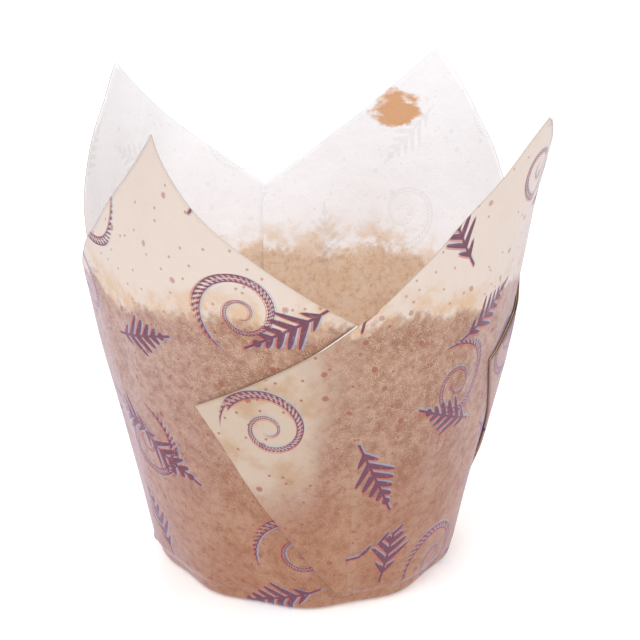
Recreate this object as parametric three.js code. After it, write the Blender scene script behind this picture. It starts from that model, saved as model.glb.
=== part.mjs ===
// A tulip cupcake liner: one square sheet of baking paper, pressed round a cup-shaped former.
// The sheet's middle makes a flat round base. Its wall leans outwards as a cone, so the paper that a
// cone doesn't need is folded away in four darts, one at the middle of each side of the sheet. Each dart
// is three layers deep: an outer flap, a middle layer that turns back under it, and the next wall.
// The sheet's four corners stand up between the darts as pointed petals.
// Millimetres, +Z up. The origin is the centre of the base, on the surface that the liner stands on.
// Azimuth 0 is the dart at the front, which faces -Y, and azimuths grow towards +X.
import * as THREE from "three";

// The sheet and the cup that it is pressed into.
const SHEET_SIDE = 140;
const PAPER_THICKNESS = 0.12;
const FOOT_RADIUS = 25; // middle of the paper, where the wall rises from the base crease
const WALL_LEAN = THREE.MathUtils.degToRad(13.2); // outwards from upright
const CREASE_RADIUS = 2; // middle of the paper, where the base bends up into the wall
const SIDE_SHIFTS = [-1, 1, 1, -1]; // how far out each side of the sheet lies: front, right, back, left

// The darts. Paper layers lie a little apart, because the folds spring open.
const LAYER_CLEARANCE = 0.38; // air between two layers
const DART_START = 3.2; // reach from a dart's point over which it folds over
const DART_SPREAD = 1.8; // half width of the stretch of foot that each dart grows from
const FOLD_RISE = 0.5; // how upright the middle layer gets while it folds over
const FLAP_LIFTS = [0.2, 0.9, 0.8, 0.6]; // lift of each flap's free corner: front, right, back, left

// The flats that pressing leaves round the foot.
const FACET_COUNT = 10;
const FACET_DEPTH = 0.45;
const FACET_HEIGHT = 7; // slant height over which they die away
const FACET_AZIMUTH = THREE.MathUtils.degToRad(-50);

// How each petal stands, in millimetres at its tip: lean moves it out from the cone, sway moves it round
// towards +azimuth, curl bends the last stretch below the tip out, and turn moves its +azimuth side out
// and its other side in.
const CURL_LENGTH = 24;
const PETALS = [
  { lean: -7.3, sway: 3.2, curl: 4.9, turn: 5.5 }, // right
  { lean: -2.7, sway: -3.2, curl: 0, turn: -1.5 }, // back right
  { lean: -1.0, sway: -5.1, curl: -1.7, turn: -4.8 }, // back left
  { lean: -5.4, sway: -6.5, curl: -7.3, turn: 0.5 }, // left
];

// Fineness of the surface: columns of each stretch of a quarter, and rows up the wall.
const FLAP_COLUMNS = 4;
const WALL_COLUMNS = 14;
const FOLD_COLUMNS = 2;
const CREASE_ROWS = 2;
const START_ROWS = 8;
const WALL_ROWS = 9;

const QUARTER = Math.PI / 2;
const DARTS = [0, 1, 2, 3];

// The cone laid flat. A quarter of it spans less angle than a quarter of the sheet, and each dart takes
// up the rest.
const sinLean = Math.sin(WALL_LEAN);
const cosLean = Math.cos(WALL_LEAN);
const coneDistance = FOOT_RADIUS / sinLean; // from the cone's own tip to the foot
const quarterSpan = QUARTER * sinLean;
const halfDart = (QUARTER - quarterSpan) / 2;
const halfSide = SHEET_SIDE / 2;
const dartRadius = Math.SQRT2 * coneDistance * Math.sin(quarterSpan / 2); // sheet's centre to a dart's point
const coneTip = new THREE.Vector2(
  dartRadius - coneDistance * Math.cos(halfDart),
  -coneDistance * Math.sin(halfDart),
);
const petalSlant = Math.SQRT2 * halfSide + coneTip.length() - coneDistance; // of a petal's tip
const sideDistance = (dart) => halfSide + SIDE_SHIFTS[dart % DARTS.length];
const foldRadius = (PAPER_THICKNESS + LAYER_CLEARANCE) / 2; // middle of the paper in each fold

const footHeight = PAPER_THICKNESS / 2 + CREASE_RADIUS * (1 - sinLean);
const flatRadius = FOOT_RADIUS - CREASE_RADIUS * cosLean;

const { smoothstep, lerp, clamp } = THREE.MathUtils;

// How far the paper at an azimuth and slant height stands off the plain cone: outwards, and round it.
// Each petal takes full effect at its own middle, and none at the middle of the next one.
function standing(azimuth, slant) {
  const rise = clamp(slant / petalSlant, 0, 1.1) ** 2;
  const bend = Math.max(0, (slant - petalSlant + CURL_LENGTH) / CURL_LENGTH) ** 2;
  let out = 0;
  let round = 0;
  PETALS.forEach(({ lean, sway, curl, turn }, petal) => {
    const middle = (petal + 0.5) * QUARTER;
    const away = Math.atan2(Math.sin(azimuth - middle), Math.cos(azimuth - middle));
    if (Math.abs(away) >= QUARTER) return;
    const share = Math.cos(away) ** 2;
    out += share * ((lean + turn * Math.sin(2 * away)) * rise + curl * bend);
    round += share * sway * rise;
  });
  return { out, round };
}

function facetDepth(azimuth, slant) {
  const ripple = Math.cos(FACET_COUNT * (azimuth - FACET_AZIMUTH));
  return FACET_DEPTH * ripple * Math.exp(-Math.max(slant, 0) / FACET_HEIGHT);
}

// A point at a radius and height on an azimuth.
function cupPoint(azimuth, radius, z) {
  return new THREE.Vector3(radius * Math.sin(azimuth), -radius * Math.cos(azimuth), z);
}

// A point of the wall, where height is how far its layer lies off the cone.
function wallPoint(azimuth, slant, height) {
  const { out, round } = standing(azimuth, slant);
  const radius = FOOT_RADIUS + slant * sinLean + height * cosLean + out + facetDepth(azimuth, slant);
  const z = footHeight + slant * cosLean - height * sinLean;
  return cupPoint(azimuth + round / radius, radius, z);
}

// A point of a dart, from its place on the cone laid flat: along the dart's own line up the wall, and
// to the side of that line.
function wrapSection(dart, along, side, height) {
  const azimuth = dart * QUARTER + Math.atan2(side, coneDistance + along) / sinLean;
  return wallPoint(azimuth, Math.hypot(side, coneDistance + along) - coneDistance, height);
}

// How far a dart has folded over at a reach from its point: 0 lies flat, PI lies folded.
const foldTurn = (reach) => Math.PI * smoothstep(reach, 0, DART_START);
const gathered = (reach) => 1 - smoothstep(reach, 0, DART_START);
const outerLayer = (reach) => 2 * foldRadius * (1 - Math.cos(foldTurn(reach)));

// The stations across a dart, in the order in which the paper passes them: round the inner fold, along the
// middle layer, round the outer fold and along the flap. turned is how much of each fold's bend lies
// behind, bearing runs from the wall's side of the dart (1) to the fold line of the flap (0), and place is
// where the station stands in the spread at the foot.
const FOLD_LINE = { inner: 1, outer: 1, bearing: 0, place: 0 };
function dartStations() {
  const folds = [];
  for (let i = 1; i <= FOLD_COLUMNS; i++) {
    folds.push({ inner: i / (FOLD_COLUMNS + 1), outer: 0, bearing: 1 });
  }
  for (let i = 0; i <= FLAP_COLUMNS; i++) {
    folds.push({ inner: 1, outer: 0, bearing: 1 - i / FLAP_COLUMNS });
  }
  for (let i = 1; i <= FOLD_COLUMNS; i++) {
    folds.push({ inner: 1, outer: i / (FOLD_COLUMNS + 1), bearing: 0 });
  }
  const placed = folds.map((station, i) => ({ ...station, place: (i + 1) / (folds.length + 1) - 1 }));
  const flap = [];
  for (let i = 0; i < FLAP_COLUMNS; i++) {
    flap.push({ ...FOLD_LINE, bearing: i / FLAP_COLUMNS, flap: true });
  }
  return [...placed, ...flap];
}

// Where a station lies in its dart's section at a reach, beside the dart's line and off the wall. The
// section is an S of two equal bends with the middle layer between them.
function foldedOver(station, reach) {
  const turn = foldTurn(reach);
  const grown = (1 - Math.cos(turn)) / 2;
  const width = reach * Math.sin(halfDart - station.bearing * halfDart) * grown;
  const first = station.inner * turn;
  const second = (1 - station.outer) * turn;
  return {
    side:
      foldRadius * (Math.sin(first) + Math.sin(turn) - Math.sin(second)) +
      width * Math.cos(turn) +
      station.place * DART_SPREAD * gathered(reach),
    height:
      foldRadius * (1 - Math.cos(first) + Math.cos(second) - Math.cos(turn)) +
      width * Math.sin(turn) * FOLD_RISE,
  };
}

// A column that climbs one station of a dart.
function dartColumn(dart, station) {
  const bearing = station.bearing * halfDart;
  const length = (sideDistance(dart) - dartRadius) / Math.cos(bearing);
  const near = 1 - smoothstep(station.bearing, 0, 1);
  const share = Math.sin(halfDart - bearing) / Math.sin(halfDart);
  return {
    length,
    at(reach) {
      let { side, height } = foldedOver(station, reach);
      if (station.flap) {
        const fold = foldedOver(FOLD_LINE, reach);
        side = lerp(DART_SPREAD * gathered(reach), fold.side, share);
        height = lerp(outerLayer(reach), fold.height, share);
      }
      const lift = FLAP_LIFTS[dart] * near * (reach / length) ** 1.5;
      return wrapSection(dart, reach * Math.cos(halfDart - bearing), side, height + lift);
    },
  };
}

// A column of the wall between two darts, which starts on the dart's outer layer and ends on the next
// dart's inner one. part runs from 0 to 1 across it.
function wallColumn(dart, part) {
  const bearing = halfDart + part * quarterSpan;
  const direction = new THREE.Vector2(Math.cos(bearing), Math.sin(bearing));
  const edge = Math.min(
    (sideDistance(dart) - coneTip.x) / direction.x,
    (sideDistance(dart + 1) - coneTip.y) / direction.y,
  );
  const layer = 1 - smoothstep(part, 0, 1);
  const spread = (part === 0 ? 1 : 0) - (part === 1 ? 1 : 0);
  return {
    length: edge - coneDistance,
    at(reach) {
      const height = layer * outerLayer(reach);
      const side = spread * DART_SPREAD * gathered(reach);
      const azimuth = (dart + part) * QUARTER + side / FOOT_RADIUS;
      return wallPoint(azimuth, reach, height);
    },
  };
}

// The columns round the whole sheet, in the order in which they lie along its edge.
function sheetColumns() {
  const columns = [];
  for (const dart of DARTS) {
    for (let i = 0; i <= WALL_COLUMNS; i++) {
      columns.push(wallColumn(dart, i / WALL_COLUMNS));
    }
    for (const station of dartStations()) {
      columns.push(dartColumn((dart + 1) % DARTS.length, station));
    }
  }
  return columns;
}

// The middle of the paper as rows of points, from the flat base out to the sheet's edge.
function sheetRows(columns) {
  const foot = columns.map((column) => column.at(0));
  const azimuths = foot.map((point) => Math.atan2(point.x, -point.y));
  const rows = [];
  const innerRadius = flatRadius - CREASE_RADIUS;
  rows.push(azimuths.map((azimuth) => {
    const radius = innerRadius + facetDepth(azimuth, 0);
    return cupPoint(azimuth, radius, PAPER_THICKNESS / 2);
  }));
  for (let i = 0; i <= CREASE_ROWS; i++) {
    const turn = ((QUARTER - WALL_LEAN) * i) / (CREASE_ROWS + 1);
    const radius = flatRadius + CREASE_RADIUS * Math.sin(turn);
    const z = PAPER_THICKNESS / 2 + CREASE_RADIUS * (1 - Math.cos(turn));
    rows.push(azimuths.map((azimuth) => cupPoint(azimuth, radius + facetDepth(azimuth, 0), z)));
  }
  for (let i = 0; i < START_ROWS; i++) {
    const reach = (DART_START * 1.1 * i) / START_ROWS;
    rows.push(columns.map((column) => column.at(reach)));
  }
  for (let i = 0; i <= WALL_ROWS; i++) {
    const start = DART_START * 1.1;
    rows.push(columns.map((column) => column.at(lerp(start, column.length, i / WALL_ROWS))));
  }
  return rows;
}

// Closes the rows of points into a sheet: bands between the rows, and a flat disc inside the first.
function sheetGeometry(rows) {
  const around = rows[0].length;
  const points = rows.flat();
  const index = [];
  const outline = rows[0].map((point) => new THREE.Vector2(point.x, point.y));
  for (const [a, b, c] of THREE.ShapeUtils.triangulateShape(outline, [])) index.push(a, c, b);
  for (let row = 0; row + 1 < rows.length; row++) {
    for (let i = 0; i < around; i++) {
      const j = (i + 1) % around;
      const thisRow = row * around;
      const nextRow = thisRow + around;
      const [a, b, c, d] = [thisRow + i, thisRow + j, nextRow + j, nextRow + i];
      index.push(a, b, c, a, c, d);
    }
  }
  return new THREE.BufferGeometry().setFromPoints(points).setIndex(index);
}

// Gives a sheet its thickness: the same surface half the paper out and half in, joined round the edge.
function thicken(sheet, thickness, around) {
  sheet.computeVertexNormals();
  const middle = sheet.getAttribute("position");
  const normal = sheet.getAttribute("normal");
  const points = [];
  for (const side of [0.5, -0.5]) {
    for (let i = 0; i < middle.count; i++) {
      const point = new THREE.Vector3().fromBufferAttribute(middle, i);
      const out = new THREE.Vector3().fromBufferAttribute(normal, i);
      points.push(point.addScaledVector(out, side * thickness));
    }
  }
  const outer = Array.from(sheet.index.array);
  const index = [...outer];
  for (let i = 0; i < outer.length; i += 3) {
    index.push(outer[i] + middle.count, outer[i + 2] + middle.count, outer[i + 1] + middle.count);
  }
  const rim = middle.count - around;
  for (let i = 0; i < around; i++) {
    const [a, b] = [rim + i, rim + ((i + 1) % around)];
    index.push(a, b, b + middle.count, a, b + middle.count, a + middle.count);
  }
  return new THREE.BufferGeometry().setFromPoints(points).setIndex(index);
}

const columns = sheetColumns();
const paper = new THREE.MeshStandardMaterial({ color: 0xd9c3ae, roughness: 0.85, metalness: 0 });
const liner = new THREE.Mesh(
  thicken(sheetGeometry(sheetRows(columns)), PAPER_THICKNESS, columns.length),
  paper,
);
liner.name = "liner_sheet";

const cupcakeLiner = new THREE.Group();
cupcakeLiner.add(liner);

export default cupcakeLiner;
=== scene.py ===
"""A tulip baking liner: one printed sheet of greaseproof paper, folded into a cup and browned by baking."""

import math

import bpy
import numpy as np
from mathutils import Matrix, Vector


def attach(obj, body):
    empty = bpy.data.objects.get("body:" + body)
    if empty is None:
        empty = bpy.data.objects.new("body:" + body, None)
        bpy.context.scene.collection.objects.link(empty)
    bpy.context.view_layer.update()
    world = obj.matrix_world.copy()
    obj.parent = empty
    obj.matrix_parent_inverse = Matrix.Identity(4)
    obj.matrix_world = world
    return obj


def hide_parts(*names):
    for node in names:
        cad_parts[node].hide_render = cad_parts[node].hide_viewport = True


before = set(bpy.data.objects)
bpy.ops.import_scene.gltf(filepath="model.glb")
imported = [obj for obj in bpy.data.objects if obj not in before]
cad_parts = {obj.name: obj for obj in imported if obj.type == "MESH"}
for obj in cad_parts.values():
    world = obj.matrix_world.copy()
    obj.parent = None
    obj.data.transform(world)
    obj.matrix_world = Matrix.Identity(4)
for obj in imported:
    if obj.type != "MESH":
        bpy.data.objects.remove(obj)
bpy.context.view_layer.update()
scene = bpy.context.scene

QUARTER = math.pi / 2
FULL_TURN = 2 * math.pi
MM = 0.001

# The sheet and the cup, in millimetres. Values for the sides and darts go front, right, back, left.
SHEET_SIDE = 140.0
PAPER_THICKNESS = 0.12
FOOT_RADIUS = 25.0
WALL_LEAN = math.radians(13.2)
CREASE_RADIUS = 2.0
SIDE_SHIFTS = (-1.0, 1.0, 1.0, -1.0)
LAYER_CLEARANCE = 0.2
DART_START = 3.2
DART_SPREAD = 1.8
FOLD_RISE = 0.5
FLAP_LIFTS = (0.2, 0.2, 0.5, 0.3)
FACET_COUNT = 10
FACET_DEPTH = 0.45
FACET_HEIGHT = 7.0
FACET_AZIMUTH = math.radians(-50)
CURL_LENGTH = 24.0
# The pressed cup is a little narrower from side to side, up to about the brown line.
OVAL_DEPTH = 0.45
OVAL_OFFSET = 0.15
OVAL_START, OVAL_END = 35.0, 60.0
WAVE_DEPTH = 0.7
# Lean, sway, curl and turn of each petal: front right, back right, back left, front left.
PETALS = (
    (-7.3, 3.2, 3.6, 3.6),
    (-2.7, -3.2, 0.0, -1.5),
    (0.2, -5.3, -1.7, -4.8),
    (-5.4, -7.6, -7.3, 0.5),
)

# How strongly the paper browned: 1 on the wall, and less beside a dart and on the flap outside it.
FLAP_SOAK = (0.12, 0.6, 0.4, 0.45)
WALL_START_SOAK = 0.6
LOW_FLAP_SOAK = 0.75

FLAP_COLUMNS = 12
WALL_COLUMNS = 60
FOLD_COLUMNS = 4
BASE_ROWS = 14
CREASE_ROWS = 4
START_ROWS = 10
WALL_ROWS = 56
START_OVERLAP = 1.1
# Places of the base's edge and the crease's start on the flat sheet, as shares of the wall's start.
BASE_SHARE = 0.92
CREASE_SHARE = 0.94

# Colours of the paper's two faces; the inside's are lighter partly as painted light shining through the
# paper.
OUTSIDE_TONES = {
    "clean": (0.67, 0.565, 0.50),
    "greased": (0.54, 0.42, 0.335),
    "tan": (0.6, 0.37, 0.2),
    "brown": (0.245, 0.084, 0.039),
    "mauve": (0.34, 0.165, 0.122),
    "patch": (0.45, 0.28, 0.16),
    "dark": (0.23, 0.07, 0.045),
    "pale": (0.56, 0.41, 0.305),
}
INSIDE_TONES = {
    "clean": (0.97, 0.965, 0.995),
    "greased": (0.86, 0.76, 0.7),
    "tan": (0.8, 0.6, 0.42),
    "brown": (0.66, 0.43, 0.26),
    "mauve": (0.72, 0.53, 0.4),
    "patch": (0.8, 0.6, 0.42),
    "dark": (0.5, 0.28, 0.15),
    "pale": (0.78, 0.66, 0.56),
}
LOW_BROWN = (0.335, 0.121, 0.046)
# Painted light: a lighter mauve cast on the browned outside at its left and right sides.
SIDE_PAINTED_LIGHT = (0.47, 0.32, 0.33)
CREASE_BROWN = (0.38, 0.16, 0.07)
SPOT_BROWN = (0.3, 0.09, 0.06)
# Painted shade: a darker colour on the faces shut inside the flaps, for the shadow between the layers.
FLAP_PAINTED_SHADE = (0.6, 0.42, 0.28)
SMEAR_TAN = (0.66, 0.3, 0.08)
# Painted shade: the paper's cut edges are darker than the paper, for a thin shadow line along them.
EDGE_PAINTED_SHADE = (0.5, 0.39, 0.3)
# Height of the brown line above the base.
LINE_OUTSIDE = 51.6
LINE_INSIDE = 43.0
# Spatter: cells per millimetre, share of cells left empty, and a spot's size against its cell.
SPATTER = ((0.2, 0.68, 0.08), (0.45, 0.7, 0.09))
# Shift from the register, colour and strength of each ink, the main one last.
INKS = (
    ((-0.24, 0.2, 0), (0.22, 0.36, 0.58), 0.5),
    ((0.22, -0.22, 0), (0.5, 0.1, 0.09), 0.65),
    ((0, 0, 0), (0.13, 0.042, 0.075), 0.92),
)
SHOW_THROUGH = 0.1
# Pitch and shift of the two motifs on the flat sheet, and how unevenly they are strewn.
SCROLL_PITCH, SCROLL_SHIFT = 27.0, (21.9, 9.3, 0)
FERN_PITCH, FERN_SHIFT = 21.0, (80.3, 34.1, 0)
MOTIF_SCATTER = 0.62
# A tan smear on the inside of the back right petal.
SMEAR_PLACE = (58.2, 66.7, 0)
SMEAR_RADIUS = 4.8

# The camera's place in metres, its turns in radians, and its sensor's width in millimetres.
CAMERA_PLACE = (-0.059231, -0.235323, 0.12779)
CAMERA_PITCH = 0.3489
CAMERA_YAW = 0.257
SENSOR_WIDTH = 36
FOCAL_LENGTH = 2.464844 * SENSOR_WIDTH
# Name, place, aim, size and power of each light, in metres and watts.
LIGHTS = (
    ("key", (-0.45, -0.5, 0.75), (0, 0, 0.04), 0.5, 4.0),
    ("fill", (0.65, -0.35, 0.45), (0, 0, 0.04), 0.6, 1.6),
    ("back", (0.1, 0.6, 0.6), (0, 0, 0.05), 0.5, 1.6),
)
LIGHT_ALL_ROUND = 0.64
FLOOR_SIDE = 6
FLOOR_TONE = (0.9, 0.9, 0.9)
FLOOR_GLOW = 0.3

sin_lean, cos_lean = math.sin(WALL_LEAN), math.cos(WALL_LEAN)
cone_distance = FOOT_RADIUS / sin_lean
quarter_span = QUARTER * sin_lean
half_dart = (QUARTER - quarter_span) / 2
half_side = SHEET_SIDE / 2
dart_radius = math.sqrt(2) * cone_distance * math.sin(quarter_span / 2)
cone_tip = np.array(
    [dart_radius - cone_distance * math.cos(half_dart), -cone_distance * math.sin(half_dart)]
)
petal_slant = math.sqrt(2) * half_side + np.hypot(*cone_tip) - cone_distance
fold_radius = (PAPER_THICKNESS + LAYER_CLEARANCE) / 2
foot_height = PAPER_THICKNESS / 2 + CREASE_RADIUS * (1 - sin_lean)
flat_radius = FOOT_RADIUS - CREASE_RADIUS * cos_lean


def smoothstep(x, low, high):
    u = np.clip((np.asarray(x, float) - low) / (high - low), 0, 1)
    return u * u * (3 - 2 * u)


def lerp(a, b, t):
    return a + (b - a) * t


# Where the paper lies. Azimuth 0 is the front dart, and azimuths grow towards +X.


def waviness(azimuth, slant):
    """Slight unevenness of pressed paper, the same for every layer at a place."""
    grow = smoothstep(slant, 2, 30)
    broad = 0.35 * np.sin(5 * azimuth + slant * 0.06) + 0.35 * np.sin(9 * azimuth - slant * 0.11 + 1.3)
    fine = 0.16 * np.sin(23 * azimuth + 0.5 * np.sin(slant * 0.21))
    fine = fine + 0.1 * np.sin(slant * 0.33 + 7 * azimuth)
    return grow * (broad + fine) * WAVE_DEPTH


def standing(azimuth, slant):
    """How far the paper stands off the plain cone, outwards and round it."""
    rise = np.clip(slant / petal_slant, 0, 1.1) ** 2
    bend = np.maximum(0, (slant - petal_slant + CURL_LENGTH) / CURL_LENGTH) ** 2
    out = 0.0
    around = 0.0
    for petal, (lean, sway, curl, turn) in enumerate(PETALS):
        middle = (petal + 0.5) * QUARTER
        away = np.arctan2(np.sin(azimuth - middle), np.cos(azimuth - middle))
        share = np.where(np.abs(away) < QUARTER, np.cos(away) ** 2, 0)
        out = out + share * ((lean + turn * np.sin(2 * away)) * rise + curl * bend)
        around = around + share * sway * rise
    return out, around


def facet_depth(azimuth, slant):
    """Shallow flats round the foot, where the paper was pressed over its crease."""
    fade = np.exp(-np.maximum(slant, 0) / FACET_HEIGHT)
    return FACET_DEPTH * np.cos(FACET_COUNT * (azimuth - FACET_AZIMUTH)) * fade


def oval_depth(azimuth, slant):
    return OVAL_DEPTH * (np.cos(2 * azimuth) - OVAL_OFFSET) * (1 - smoothstep(slant, OVAL_START, OVAL_END))


def cup_point(azimuth, radius, z):
    azimuth, radius, z = np.broadcast_arrays(azimuth, radius, z)
    return np.stack([radius * np.sin(azimuth), -radius * np.cos(azimuth), z], -1)


def wall_point(azimuth, slant, height):
    """A point at a slant distance up the wall, and at a height off the wall's innermost layer."""
    out, around = standing(azimuth, slant)
    radius = FOOT_RADIUS + slant * sin_lean + height * cos_lean + out + facet_depth(azimuth, slant)
    radius = radius + oval_depth(azimuth, slant) + waviness(azimuth, slant)
    return cup_point(azimuth + around / radius, radius, foot_height + slant * cos_lean - height * sin_lean)


def section_point(dart, along, side, height):
    """A point beside a dart's middle line, measured along and across it on the wall laid flat."""
    azimuth = dart * QUARTER + np.arctan2(side, cone_distance + along) / sin_lean
    return wall_point(azimuth, np.hypot(side, cone_distance + along) - cone_distance, height)


# How a dart folds over. Its layers open from its point, and lie fully folded from DART_START on.


def fold_turn(reach):
    return math.pi * smoothstep(reach, 0, DART_START)


def gathered(reach):
    return 1 - smoothstep(reach, 0, DART_START)


def outer_layer(reach):
    return 2 * fold_radius * (1 - np.cos(fold_turn(reach)))


def folded_over(inner, outer, bearing, place, reach):
    """Side and height of a line of the dart's S-shaped section, at a reach from the dart's point."""
    turn = fold_turn(reach)
    width = reach * math.sin(half_dart - bearing * half_dart) * (1 - np.cos(turn)) / 2
    first, second = inner * turn, (1 - outer) * turn
    side = fold_radius * (np.sin(first) + np.sin(turn) - np.sin(second))
    side = side + width * np.cos(turn) + place * DART_SPREAD * gathered(reach)
    height = fold_radius * (1 - np.cos(first) + np.cos(second) - np.cos(turn))
    return side, height + width * np.sin(turn) * FOLD_RISE


def to_sheet(dart, x, y):
    """From a dart's own sheet coordinates to the whole sheet's: x to the right side, y to the back."""
    angle = dart * QUARTER
    right = x * math.sin(angle) + y * math.cos(angle)
    back = -x * math.cos(angle) + y * math.sin(angle)
    return np.stack([right, back], -1)


def side_distance(dart):
    return half_side + SIDE_SHIFTS[dart % 4]


# A column runs from the foot to the sheet's edge. It gives its length, and at each reach its places in
# space and on the flat sheet, and its soak.


def wall_column(dart, part):
    """A column at a part of the way round the wall, from a dart to the next."""
    bearing = half_dart + part * quarter_span
    direction = np.array([math.cos(bearing), math.sin(bearing)])
    to_side = (side_distance(dart) - cone_tip[0]) / direction[0]
    to_next_side = (side_distance(dart + 1) - cone_tip[1]) / direction[1]
    layer = 1 - smoothstep(part, 0, 1)
    spread = (part == 0) - (part == 1)

    def at(reach):
        azimuth = (dart + part) * QUARTER + spread * DART_SPREAD * gathered(reach) / FOOT_RADIUS
        flat = cone_tip + (cone_distance + reach)[:, None] * direction
        point = wall_point(azimuth, reach, layer * outer_layer(reach))
        return point, to_sheet(dart, flat[:, 0], flat[:, 1])

    def soak(reach):
        return np.full(reach.shape, lerp(WALL_START_SOAK, 1.0, smoothstep(part, 0.0, 0.12)))

    return min(to_side, to_next_side) - cone_distance, at, soak


def dart_column(dart, inner, outer, bearing, place, flap):
    """A column of a dart: on the flap that covers it, or in the folds and the middle layer under it."""
    angle = bearing * half_dart
    length = (side_distance(dart) - dart_radius) / math.cos(angle)
    near = 1 - smoothstep(bearing, 0, 1)
    share = math.sin(half_dart - angle) / math.sin(half_dart)

    def at(reach):
        side, height = folded_over(inner, outer, bearing, place, reach)
        if flap:
            fold_side, fold_height = folded_over(1, 1, 0, 0, reach)
            side = lerp(DART_SPREAD * gathered(reach), fold_side, share)
            height = lerp(outer_layer(reach), fold_height, share)
        lift = FLAP_LIFTS[dart] * near * (reach / length) ** 1.5
        x = dart_radius + reach * math.cos(angle)
        y = reach * math.sin(angle) * (1 if flap else -1)
        point = section_point(dart, reach * math.cos(half_dart - angle), side, height + lift)
        return point, to_sheet(dart, x, y)

    def soak(reach):
        upper = lerp(FLAP_SOAK[dart], WALL_START_SOAK, smoothstep(bearing, 0.5, 1.0))
        return upper + LOW_FLAP_SOAK * (1 - smoothstep(reach / length, 0.2, 0.9))

    return length, at, soak


def sheet_columns():
    columns = []
    for dart in range(4):
        for i in range(WALL_COLUMNS + 1):
            columns.append(wall_column(dart, i / WALL_COLUMNS))
        following = (dart + 1) % 4
        folds = [(i / (FOLD_COLUMNS + 1), 0, 1) for i in range(1, FOLD_COLUMNS + 1)]
        folds += [(1, 0, 1 - i / FLAP_COLUMNS) for i in range(FLAP_COLUMNS + 1)]
        folds += [(1, i / (FOLD_COLUMNS + 1), 0) for i in range(1, FOLD_COLUMNS + 1)]
        for i, (inner, outer, bearing) in enumerate(folds):
            place = (i + 1) / (len(folds) + 1) - 1
            columns.append(dart_column(following, inner, outer, bearing, place, False))
        for i in range(FLAP_COLUMNS):
            columns.append(dart_column(following, 1, 1, i / FLAP_COLUMNS, 0, True))
    return columns


def foot_rows(foot, foot_flat):
    """Rows of the base and the crease, from the base's middle to the wall's start."""
    azimuth = np.arctan2(foot[:, 0], -foot[:, 1])
    shape = facet_depth(azimuth, 0) + oval_depth(azimuth, 0)
    space, flat = [], []
    for i in range(1, BASE_ROWS + 1):
        share = i / BASE_ROWS
        radius = (flat_radius - CREASE_RADIUS) * share + shape * share
        space.append(cup_point(azimuth, radius, PAPER_THICKNESS / 2))
        flat.append(foot_flat * share * BASE_SHARE)
    for i in range(CREASE_ROWS + 1):
        share = i / (CREASE_ROWS + 1)
        turn = (QUARTER - WALL_LEAN) * share
        radius = flat_radius + CREASE_RADIUS * math.sin(turn) + shape
        z = PAPER_THICKNESS / 2 + CREASE_RADIUS * (1 - math.cos(turn))
        space.append(cup_point(azimuth, radius, z))
        flat.append(foot_flat * lerp(CREASE_SHARE, 1, share))
    return np.stack(space), np.stack(flat)


def sheet_grid():
    """Points in space, places on the flat sheet and soak, as rows from the base's middle to the edge."""
    tracks = []
    start = DART_START * START_OVERLAP
    for length, at, soak in sheet_columns():
        reach = np.concatenate(
            [np.linspace(0, start, START_ROWS, endpoint=False), np.linspace(start, length, WALL_ROWS + 1)]
        )
        tracks.append((*at(reach), soak(reach)))
    wall, wall_flat, wall_soak = (np.stack(parts, 1) for parts in zip(*tracks))
    foot, foot_flat = foot_rows(wall[0], wall_flat[0])
    foot_soak = np.ones(foot.shape[:2])
    return (
        np.concatenate([foot, wall]),
        np.concatenate([foot_flat, wall_flat]),
        np.concatenate([foot_soak, wall_soak]),
    )


def build_sheet():
    """The sheet as one grid of faces round a middle point, given its thickness by a modifier."""
    space, flat, soak = sheet_grid()
    rows, around = space.shape[:2]
    vertices = np.concatenate([[[0, 0, PAPER_THICKNESS / 2]], space.reshape(-1, 3)]) * MM
    i = np.arange(around)
    j = (i + 1) % around
    faces = [(0, 1 + int(b), 1 + int(a)) for a, b in zip(i, j)]
    for row in range(rows - 1):
        a, b = 1 + row * around + i, 1 + row * around + j
        faces += [tuple(map(int, quad)) for quad in zip(a, b, b + around, a + around)]
    mesh = bpy.data.meshes.new("sheet")
    mesh.from_pydata(vertices.tolist(), [], faces)
    flat_all = np.concatenate([[[0, 0]], flat.reshape(-1, 2)]) / SHEET_SIDE + 0.5
    soak_all = np.concatenate([[1.0], soak.reshape(-1)])
    loops = np.zeros(len(mesh.loops), dtype=np.int32)
    mesh.loops.foreach_get("vertex_index", loops)
    uv = mesh.uv_layers.new(name="flat_sheet")
    uv.data.foreach_set("uv", flat_all[loops].astype(np.float32).reshape(-1))
    attribute = mesh.attributes.new("soak", "FLOAT", "POINT")
    attribute.data.foreach_set("value", soak_all.astype(np.float32))
    mesh.polygons.foreach_set("use_smooth", np.ones(len(mesh.polygons), dtype=bool))
    made = bpy.data.objects.new("paper_sheet", mesh)
    scene.collection.objects.link(made)
    solid = made.modifiers.new("paper", "SOLIDIFY")
    solid.thickness = PAPER_THICKNESS * MM
    solid.offset = 0
    solid.material_offset = 1
    solid.material_offset_rim = 2
    return made


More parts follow.
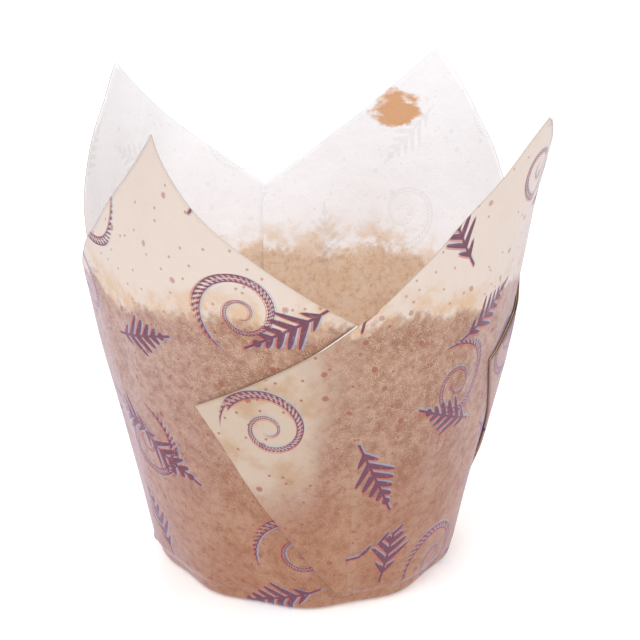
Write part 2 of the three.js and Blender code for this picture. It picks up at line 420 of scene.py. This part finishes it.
class Nodes:
    """Short ways to add shader nodes to a tree."""

    def __init__(self, tree):
        self.tree = tree

    def node(self, kind, inputs=(), **settings):
        made = self.tree.nodes.new(kind)
        for name, value in settings.items():
            setattr(made, name, value)
        for name, value in dict(inputs).items():
            self.put(made.inputs[name], value)
        return made

    def put(self, socket, value):
        if isinstance(value, bpy.types.NodeSocket):
            self.tree.links.new(value, socket)
        else:
            socket.default_value = value

    def math(self, operation, a, b=0.0, clamp=False):
        made = self.tree.nodes.new("ShaderNodeMath")
        made.operation = operation
        made.use_clamp = clamp
        self.put(made.inputs[0], a)
        self.put(made.inputs[1], b)
        return made.outputs[0]

    def add(self, a, b):
        return self.math("ADD", a, b)

    def take(self, a, b):
        return self.math("SUBTRACT", a, b)

    def times(self, a, b):
        return self.math("MULTIPLY", a, b)

    def swing(self, value, width):
        """A value from 0 to 1, spread over a width round zero."""
        return self.times(self.take(value, 0.5), width)

    def step(self, value, low, high, to_low=0.0, to_high=1.0):
        inputs = {"Value": value, "From Min": low, "From Max": high, "To Min": to_low, "To Max": to_high}
        return self.node("ShaderNodeMapRange", inputs, interpolation_type="SMOOTHSTEP").outputs[0]

    def noise(self, vector, scale, detail, roughness):
        inputs = {"Vector": vector, "Scale": scale, "Detail": detail, "Roughness": roughness}
        return self.node("ShaderNodeTexNoise", inputs).outputs["Fac"]

    def cells(self, vector, **inputs):
        """Cells strewn over the sheet: distance to the nearest centre, its place and a random share."""
        inputs["Vector"] = vector
        made = self.node("ShaderNodeTexVoronoi", inputs, voronoi_dimensions="2D")
        centre = made.outputs["Position"]
        share = self.node("ShaderNodeTexWhiteNoise", {"Vector": centre}, noise_dimensions="2D").outputs[0]
        return made.outputs["Distance"], centre, share

    def mix(self, share, a, b):
        made = self.node("ShaderNodeMix", data_type="RGBA")
        self.put(made.inputs[0], share)
        for socket, value in ((made.inputs[6], a), (made.inputs[7], b)):
            self.put(socket, value if isinstance(value, bpy.types.NodeSocket) else (*value, 1.0))
        return made.outputs[2]

    def vector(self, operation, a, b=(0, 0, 0)):
        made = self.node("ShaderNodeVectorMath", operation=operation)
        self.put(made.inputs[0], a)
        self.put(made.inputs[1], b)
        return made.outputs["Value" if operation == "LENGTH" else "Vector"]

    def split(self, vector):
        made = self.node("ShaderNodeSeparateXYZ", {"Vector": vector})
        return made.outputs[0], made.outputs[1], made.outputs[2]


# The print: motifs drawn round their own centres, in millimetres.


def scroll(n, x, y):
    """A hatched band that winds in to the centre."""
    radius = n.math("SQRT", n.add(n.times(x, x), n.times(y, y)))
    angle = n.math("DIVIDE", n.math("ARCTAN2", y, x), FULL_TURN)
    winding = n.times(n.math("LOGARITHM", n.add(radius, 0.35), 2.0), 0.72)
    phase = n.math("FRACT", n.add(n.add(angle, winding), 5.0))
    off = n.math("ABSOLUTE", n.take(phase, 0.5))
    band = n.step(off, 0.115, 0.1)
    outline = n.times(band, n.step(off, 0.07, 0.085))
    hatch = n.math("FRACT", n.times(n.add(angle, n.times(phase, 0.12)), 44.0))
    bars = n.times(band, n.step(n.math("ABSOLUTE", n.take(hatch, 0.5)), 0.28, 0.22))
    ink = n.math("MAXIMUM", outline, n.times(bars, n.step(off, 0.0, 0.02)))
    return n.times(ink, n.times(n.step(radius, 7.6, 7.2), n.step(radius, 0.9, 1.2)))


def fern(n, x, y):
    """A sprig: a straight stem with slanted leaves that shorten to both ends."""
    along = n.math("ABSOLUTE", x)
    reach = n.math("ABSOLUTE", y)
    width = n.times(n.take(1.0, n.math("DIVIDE", along, 6.5)), 3.4)
    stem = n.times(n.step(reach, 0.24, 0.16), n.step(along, 7.2, 7.0))
    slanted = n.take(x, n.times(reach, 0.9))
    comb = n.math("ABSOLUTE", n.take(n.math("FRACT", n.math("DIVIDE", slanted, 1.9)), 0.5))
    share = n.math("DIVIDE", reach, n.math("MAXIMUM", width, 0.01))
    rounded = n.math("MAXIMUM", n.take(1.0, n.times(share, share)), 0.0)
    leaf = n.step(n.take(comb, n.times(n.math("SQRT", rounded), 0.34)), 0.02, -0.03)
    leaf = n.times(leaf, n.step(n.take(width, reach), 0.0, 0.15))
    return n.math("MAXIMUM", stem, leaf)


def strewn(n, place, motif, pitch, shift):
    """A motif at every cell of the sheet, each turned its own way."""
    moved = n.vector("ADD", place, shift)
    _, centre, share = n.cells(moved, Scale=1 / pitch, Randomness=MOTIF_SCATTER)
    spin = n.node("ShaderNodeVectorRotate", rotation_type="Z_AXIS")
    n.put(spin.inputs["Vector"], n.vector("SUBTRACT", moved, centre))
    n.put(spin.inputs["Angle"], n.times(share, FULL_TURN))
    x, y, _ = n.split(spin.outputs[0])
    return motif(n, x, y)


def ornament_group():
    """Slightly worn ink of an all-over ornament. A place on the sheet goes in, and 0 to 1 comes out."""
    tree = bpy.data.node_groups.new("ornament", "ShaderNodeTree")
    tree.interface.new_socket("Place", in_out="INPUT", socket_type="NodeSocketVector")
    tree.interface.new_socket("Ink", in_out="OUTPUT", socket_type="NodeSocketFloat")
    n = Nodes(tree)
    place = n.node("NodeGroupInput").outputs[0]
    scrolls = strewn(n, place, scroll, SCROLL_PITCH, SCROLL_SHIFT)
    ferns = strewn(n, place, fern, FERN_PITCH, FERN_SHIFT)
    worn = n.step(n.noise(place, 1.6, 3.0, 0.7), 0.3, 0.42)
    out = n.node("NodeGroupOutput")
    n.put(out.inputs[0], n.times(n.math("MAXIMUM", scrolls, ferns), worn))
    return tree


class PaperFace:
    """The colour of one face of the paper, laid on from the plain paper to the ink."""

    def __init__(self, n, outside):
        self.n = n
        self.outside = outside
        self.tones = OUTSIDE_TONES if outside else INSIDE_TONES
        uv = n.node("ShaderNodeUVMap", uv_map="flat_sheet").outputs[0]
        centred = n.vector("SUBTRACT", uv, (0.5, 0.5, 0))
        self.place = n.vector("MULTIPLY", centred, (SHEET_SIDE, SHEET_SIDE, 0))
        self.aside, _, up = n.split(n.node("ShaderNodeTexCoord").outputs["Object"])
        self.height = n.times(up, 1 / MM)
        self.mottle = n.noise(self.place, 0.22, 4.0, 0.62)
        self.fine = n.noise(self.place, 3.2, 2.0, 0.6)
        clean = self.tones["clean"]
        dimmer = tuple(c * 0.93 for c in clean)
        self.colour = n.mix(n.step(self.mottle, 0.35, 0.75, 0.0, 0.35), clean, dimmer)

    def lay(self, share, tone):
        """Lay a colour over what is there. It is given by its name, or as it is."""
        self.colour = self.n.mix(share, self.colour, self.tones[tone] if isinstance(tone, str) else tone)

    def brown(self):
        """Grease and browning below an uneven line with a tan border, most on the innermost layer."""
        n = self.n
        soak = n.node("ShaderNodeAttribute", attribute_name="soak").outputs["Fac"]
        line = n.add(self.height, n.swing(n.noise(self.place, 0.045, 3.0, 0.55), 16.0))
        self.line = n.add(line, n.swing(n.noise(self.place, 0.8, 3.0, 0.65), 4.5))
        top = LINE_OUTSIDE if self.outside else LINE_INSIDE
        self.below = n.step(self.line, top, top - 2.6)
        reached = n.step(n.add(soak, n.swing(self.mottle, 0.5)), 0.2, 0.75)
        self.browned = n.math("MULTIPLY", self.below, reached, clamp=True)
        border = n.times(n.step(self.line, top + 5.5, top - 0.5), n.step(self.line, top - 9, top - 3))
        self.lay(self.below, "greased")
        self.lay(n.times(border, n.step(self.mottle, 0.42, 0.62, 0.1, 0.75)), "tan")
        soaked = n.mix(n.step(self.mottle, 0.36, 0.64), self.tones["brown"], self.tones["mauve"])
        tanned = n.step(n.noise(self.place, 0.5, 3.0, 0.7), 0.5, 0.75, 0.0, 0.3)
        soaked = n.mix(tanned, soaked, self.tones["tan"])
        if self.outside:
            soaked = n.mix(n.step(self.height, 34.0, 8.0, 0.0, 0.6), soaked, LOW_BROWN)
        self.lay(n.times(self.browned, 0.92), soaked)

    def patches(self):
        """Tan patches on the layers that stayed cleaner, and darker paper along the foot's crease."""
        n = self.n
        patches = n.times(self.below, n.step(n.noise(self.place, 0.11, 4.0, 0.6), 0.45, 0.62))
        self.lay(n.times(patches, n.step(self.browned, 0.0, 1.0, 0.7, 0.2)), "patch")
        crease = n.times(n.step(self.height, 2.2, 0.6), n.step(self.height, 0.0, 0.3))
        crease = n.times(crease, n.step(self.mottle, 0.4, 0.6, 0.2, 0.8))
        self.lay(n.times(crease, 1.0 if self.outside else 0.25), CREASE_BROWN)

    def grain(self):
        """Darker mottling and fine pale grain where the paper is soaked, and painted mauve light on the
        outside's sides.
        """
        n = self.n
        if self.outside:
            # Painted light: the outside's left and right sides are made lighter and mauve.
            sides = n.step(n.math("ABSOLUTE", self.aside), 0.014, 0.033)
            self.lay(n.times(n.times(sides, self.browned), 0.42), SIDE_PAINTED_LIGHT)
        clumps = n.noise(self.place, 0.75, 4.0, 0.68)
        self.lay(n.times(n.step(clumps, 0.5, 0.68), n.times(self.browned, 0.55)), "dark")
        share = n.times(n.step(self.line, 14.0, 46.0, 0.35, 1.0), n.step(clumps, 0.55, 0.4, 0.35, 1.0))
        grain = n.times(n.step(n.noise(self.place, 5.0, 2.0, 0.7), 0.42, 0.62), share)
        self.lay(n.times(grain, self.browned), "pale")

    def spatter(self):
        """Small red-brown spots."""
        n = self.n
        for scale, empty, size in SPATTER:
            away, _, share = n.cells(self.place, Scale=scale)
            spot = n.step(n.add(away, n.times(self.fine, 0.08)), size + 0.07, size + 0.03)
            spot = n.times(spot, n.math("GREATER_THAN", share, empty))
            spot = n.times(spot, n.step(self.below, 0.0, 1.0, 0.7, 1.0))
            self.lay(n.times(spot, 0.75 if self.outside else 0.12), SPOT_BROWN)

    def ink(self, ornament):
        """Ink with its colours slightly out of register. Only the main one shows through to the inside."""
        n = self.n
        for shift, shade, strength in INKS if self.outside else INKS[-1:]:
            group = n.node("ShaderNodeGroup", node_tree=ornament)
            n.put(group.inputs[0], n.vector("ADD", self.place, shift))
            share = strength if self.outside else strength * SHOW_THROUGH
            self.lay(n.times(group.outputs[0], share), shade)

    def flap_shade_line(self):
        """Painted shade on the faces shut inside a flap, seen only as a thin dark line at its edge."""
        n = self.n
        x, y, _ = n.split(n.vector("ABSOLUTE", self.place))
        shut = n.step(n.math("MINIMUM", x, y), 23.5, 21.5)
        shut = n.times(shut, n.step(n.math("MAXIMUM", x, y), 62.0, 65.0))
        self.lay(n.times(shut, 0.9), FLAP_PAINTED_SHADE)

    def smear(self):
        """A ragged tan smear, wider across the petal than along it."""
        n = self.n
        offset = n.vector("SUBTRACT", self.place, SMEAR_PLACE)
        x, y, _ = n.split(offset)
        along = n.times(n.add(x, y), 0.35)
        stretch = n.node("ShaderNodeCombineXYZ", {"X": along, "Y": along}).outputs[0]
        offset = n.vector("ADD", offset, stretch)
        ragged = n.times(n.noise(n.vector("ADD", offset, (4, 4, 0)), 0.16, 4.0, 0.6), 14.0)
        patch = n.step(n.add(n.vector("LENGTH", offset), ragged), SMEAR_RADIUS + 8, SMEAR_RADIUS + 5.5)
        self.lay(n.times(patch, 0.85), SMEAR_TAN)


def paper_material(name, outside, ornament):
    material = bpy.data.materials.new(name)
    material.use_nodes = True
    material.node_tree.nodes.clear()
    n = Nodes(material.node_tree)
    face = PaperFace(n, outside)
    face.brown()
    face.patches()
    face.grain()
    face.spatter()
    face.ink(ornament)
    if not outside:
        face.flap_shade_line()
        face.smear()
    crumple = n.add(n.noise(face.place, 0.35, 4.0, 0.6), n.times(face.fine, 0.25))
    bump = n.node("ShaderNodeBump", {"Height": crumple, "Strength": 0.35, "Distance": 0.6 * MM})
    shader = n.node("ShaderNodeBsdfPrincipled", {"Base Color": face.colour, "Normal": bump.outputs[0]})
    shader.inputs["Roughness"].default_value = 0.72
    shader.inputs["Specular IOR Level"].default_value = 0.35
    if outside:
        shader.inputs["Sheen Weight"].default_value = 0.6
        shader.inputs["Sheen Roughness"].default_value = 0.35
        shader.inputs["Sheen Tint"].default_value = (0.8, 0.8, 1.0, 1.0)
    n.node("ShaderNodeOutputMaterial", {"Surface": shader.outputs[0]})
    return material


def plain_material(name, colour, roughness, glow=0.0):
    material = bpy.data.materials.new(name)
    material.use_nodes = True
    inputs = material.node_tree.nodes["Principled BSDF"].inputs
    inputs["Base Color"].default_value = (*colour, 1)
    inputs["Roughness"].default_value = roughness
    if glow:
        inputs["Emission Color"].default_value = (1, 1, 1, 1)
        inputs["Emission Strength"].default_value = glow
    return material


def white_world():
    """Soft light all round, on a background that is seen as plain white."""
    world = bpy.data.worlds.new("studio")
    world.use_nodes = True
    world.node_tree.nodes.clear()
    n = Nodes(world.node_tree)
    path = n.node("ShaderNodeLightPath")
    seen = n.math("MAXIMUM", path.outputs["Is Camera Ray"], path.outputs["Is Glossy Ray"])
    seen = n.math("MAXIMUM", seen, path.outputs["Is Transmission Ray"])
    lit = n.node("ShaderNodeBackground", {"Color": (1, 1, 1, 1), "Strength": LIGHT_ALL_ROUND})
    white = n.node("ShaderNodeBackground", {"Color": (1, 1, 1, 1), "Strength": 1.0})
    either = n.node("ShaderNodeMixShader")
    n.put(either.inputs[0], seen)
    n.put(either.inputs[1], lit.outputs[0])
    n.put(either.inputs[2], white.outputs[0])
    n.node("ShaderNodeOutputWorld", {"Surface": either.outputs[0]})
    return world


def area_light(name, place, aim, size, power):
    data = bpy.data.lights.new(name, "AREA")
    data.shape = "SQUARE"
    data.size = size
    data.energy = power
    light = bpy.data.objects.new(name, data)
    light.location = place
    light.rotation_euler = (Vector(aim) - Vector(place)).to_track_quat("-Z", "Y").to_euler()
    scene.collection.objects.link(light)


def place_camera():
    data = bpy.data.cameras.new("camera")
    data.sensor_width = SENSOR_WIDTH
    data.lens = FOCAL_LENGTH
    data.clip_start = 0.01
    camera = bpy.data.objects.new("camera", data)
    camera.location = CAMERA_PLACE
    camera.rotation_euler = (QUARTER - CAMERA_PITCH, 0, -CAMERA_YAW)
    scene.collection.objects.link(camera)
    scene.camera = camera


ornament = ornament_group()
sheet = build_sheet()
sheet.data.materials.append(paper_material("paper_outside", True, ornament))
sheet.data.materials.append(paper_material("paper_inside", False, ornament))
# The cut edges carry painted shade.
sheet.data.materials.append(plain_material("paper_edge_painted_shade", EDGE_PAINTED_SHADE, 0.8))
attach(sheet, "root")
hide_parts("liner_sheet")

bpy.ops.mesh.primitive_plane_add(size=FLOOR_SIDE)
floor = bpy.context.object
floor.name = "floor"
floor.data.materials.append(plain_material("floor_white", FLOOR_TONE, 0.6, FLOOR_GLOW))

scene.view_settings.view_transform = "Standard"
scene.world = white_world()
for light in LIGHTS:
    area_light(*light)
place_camera()
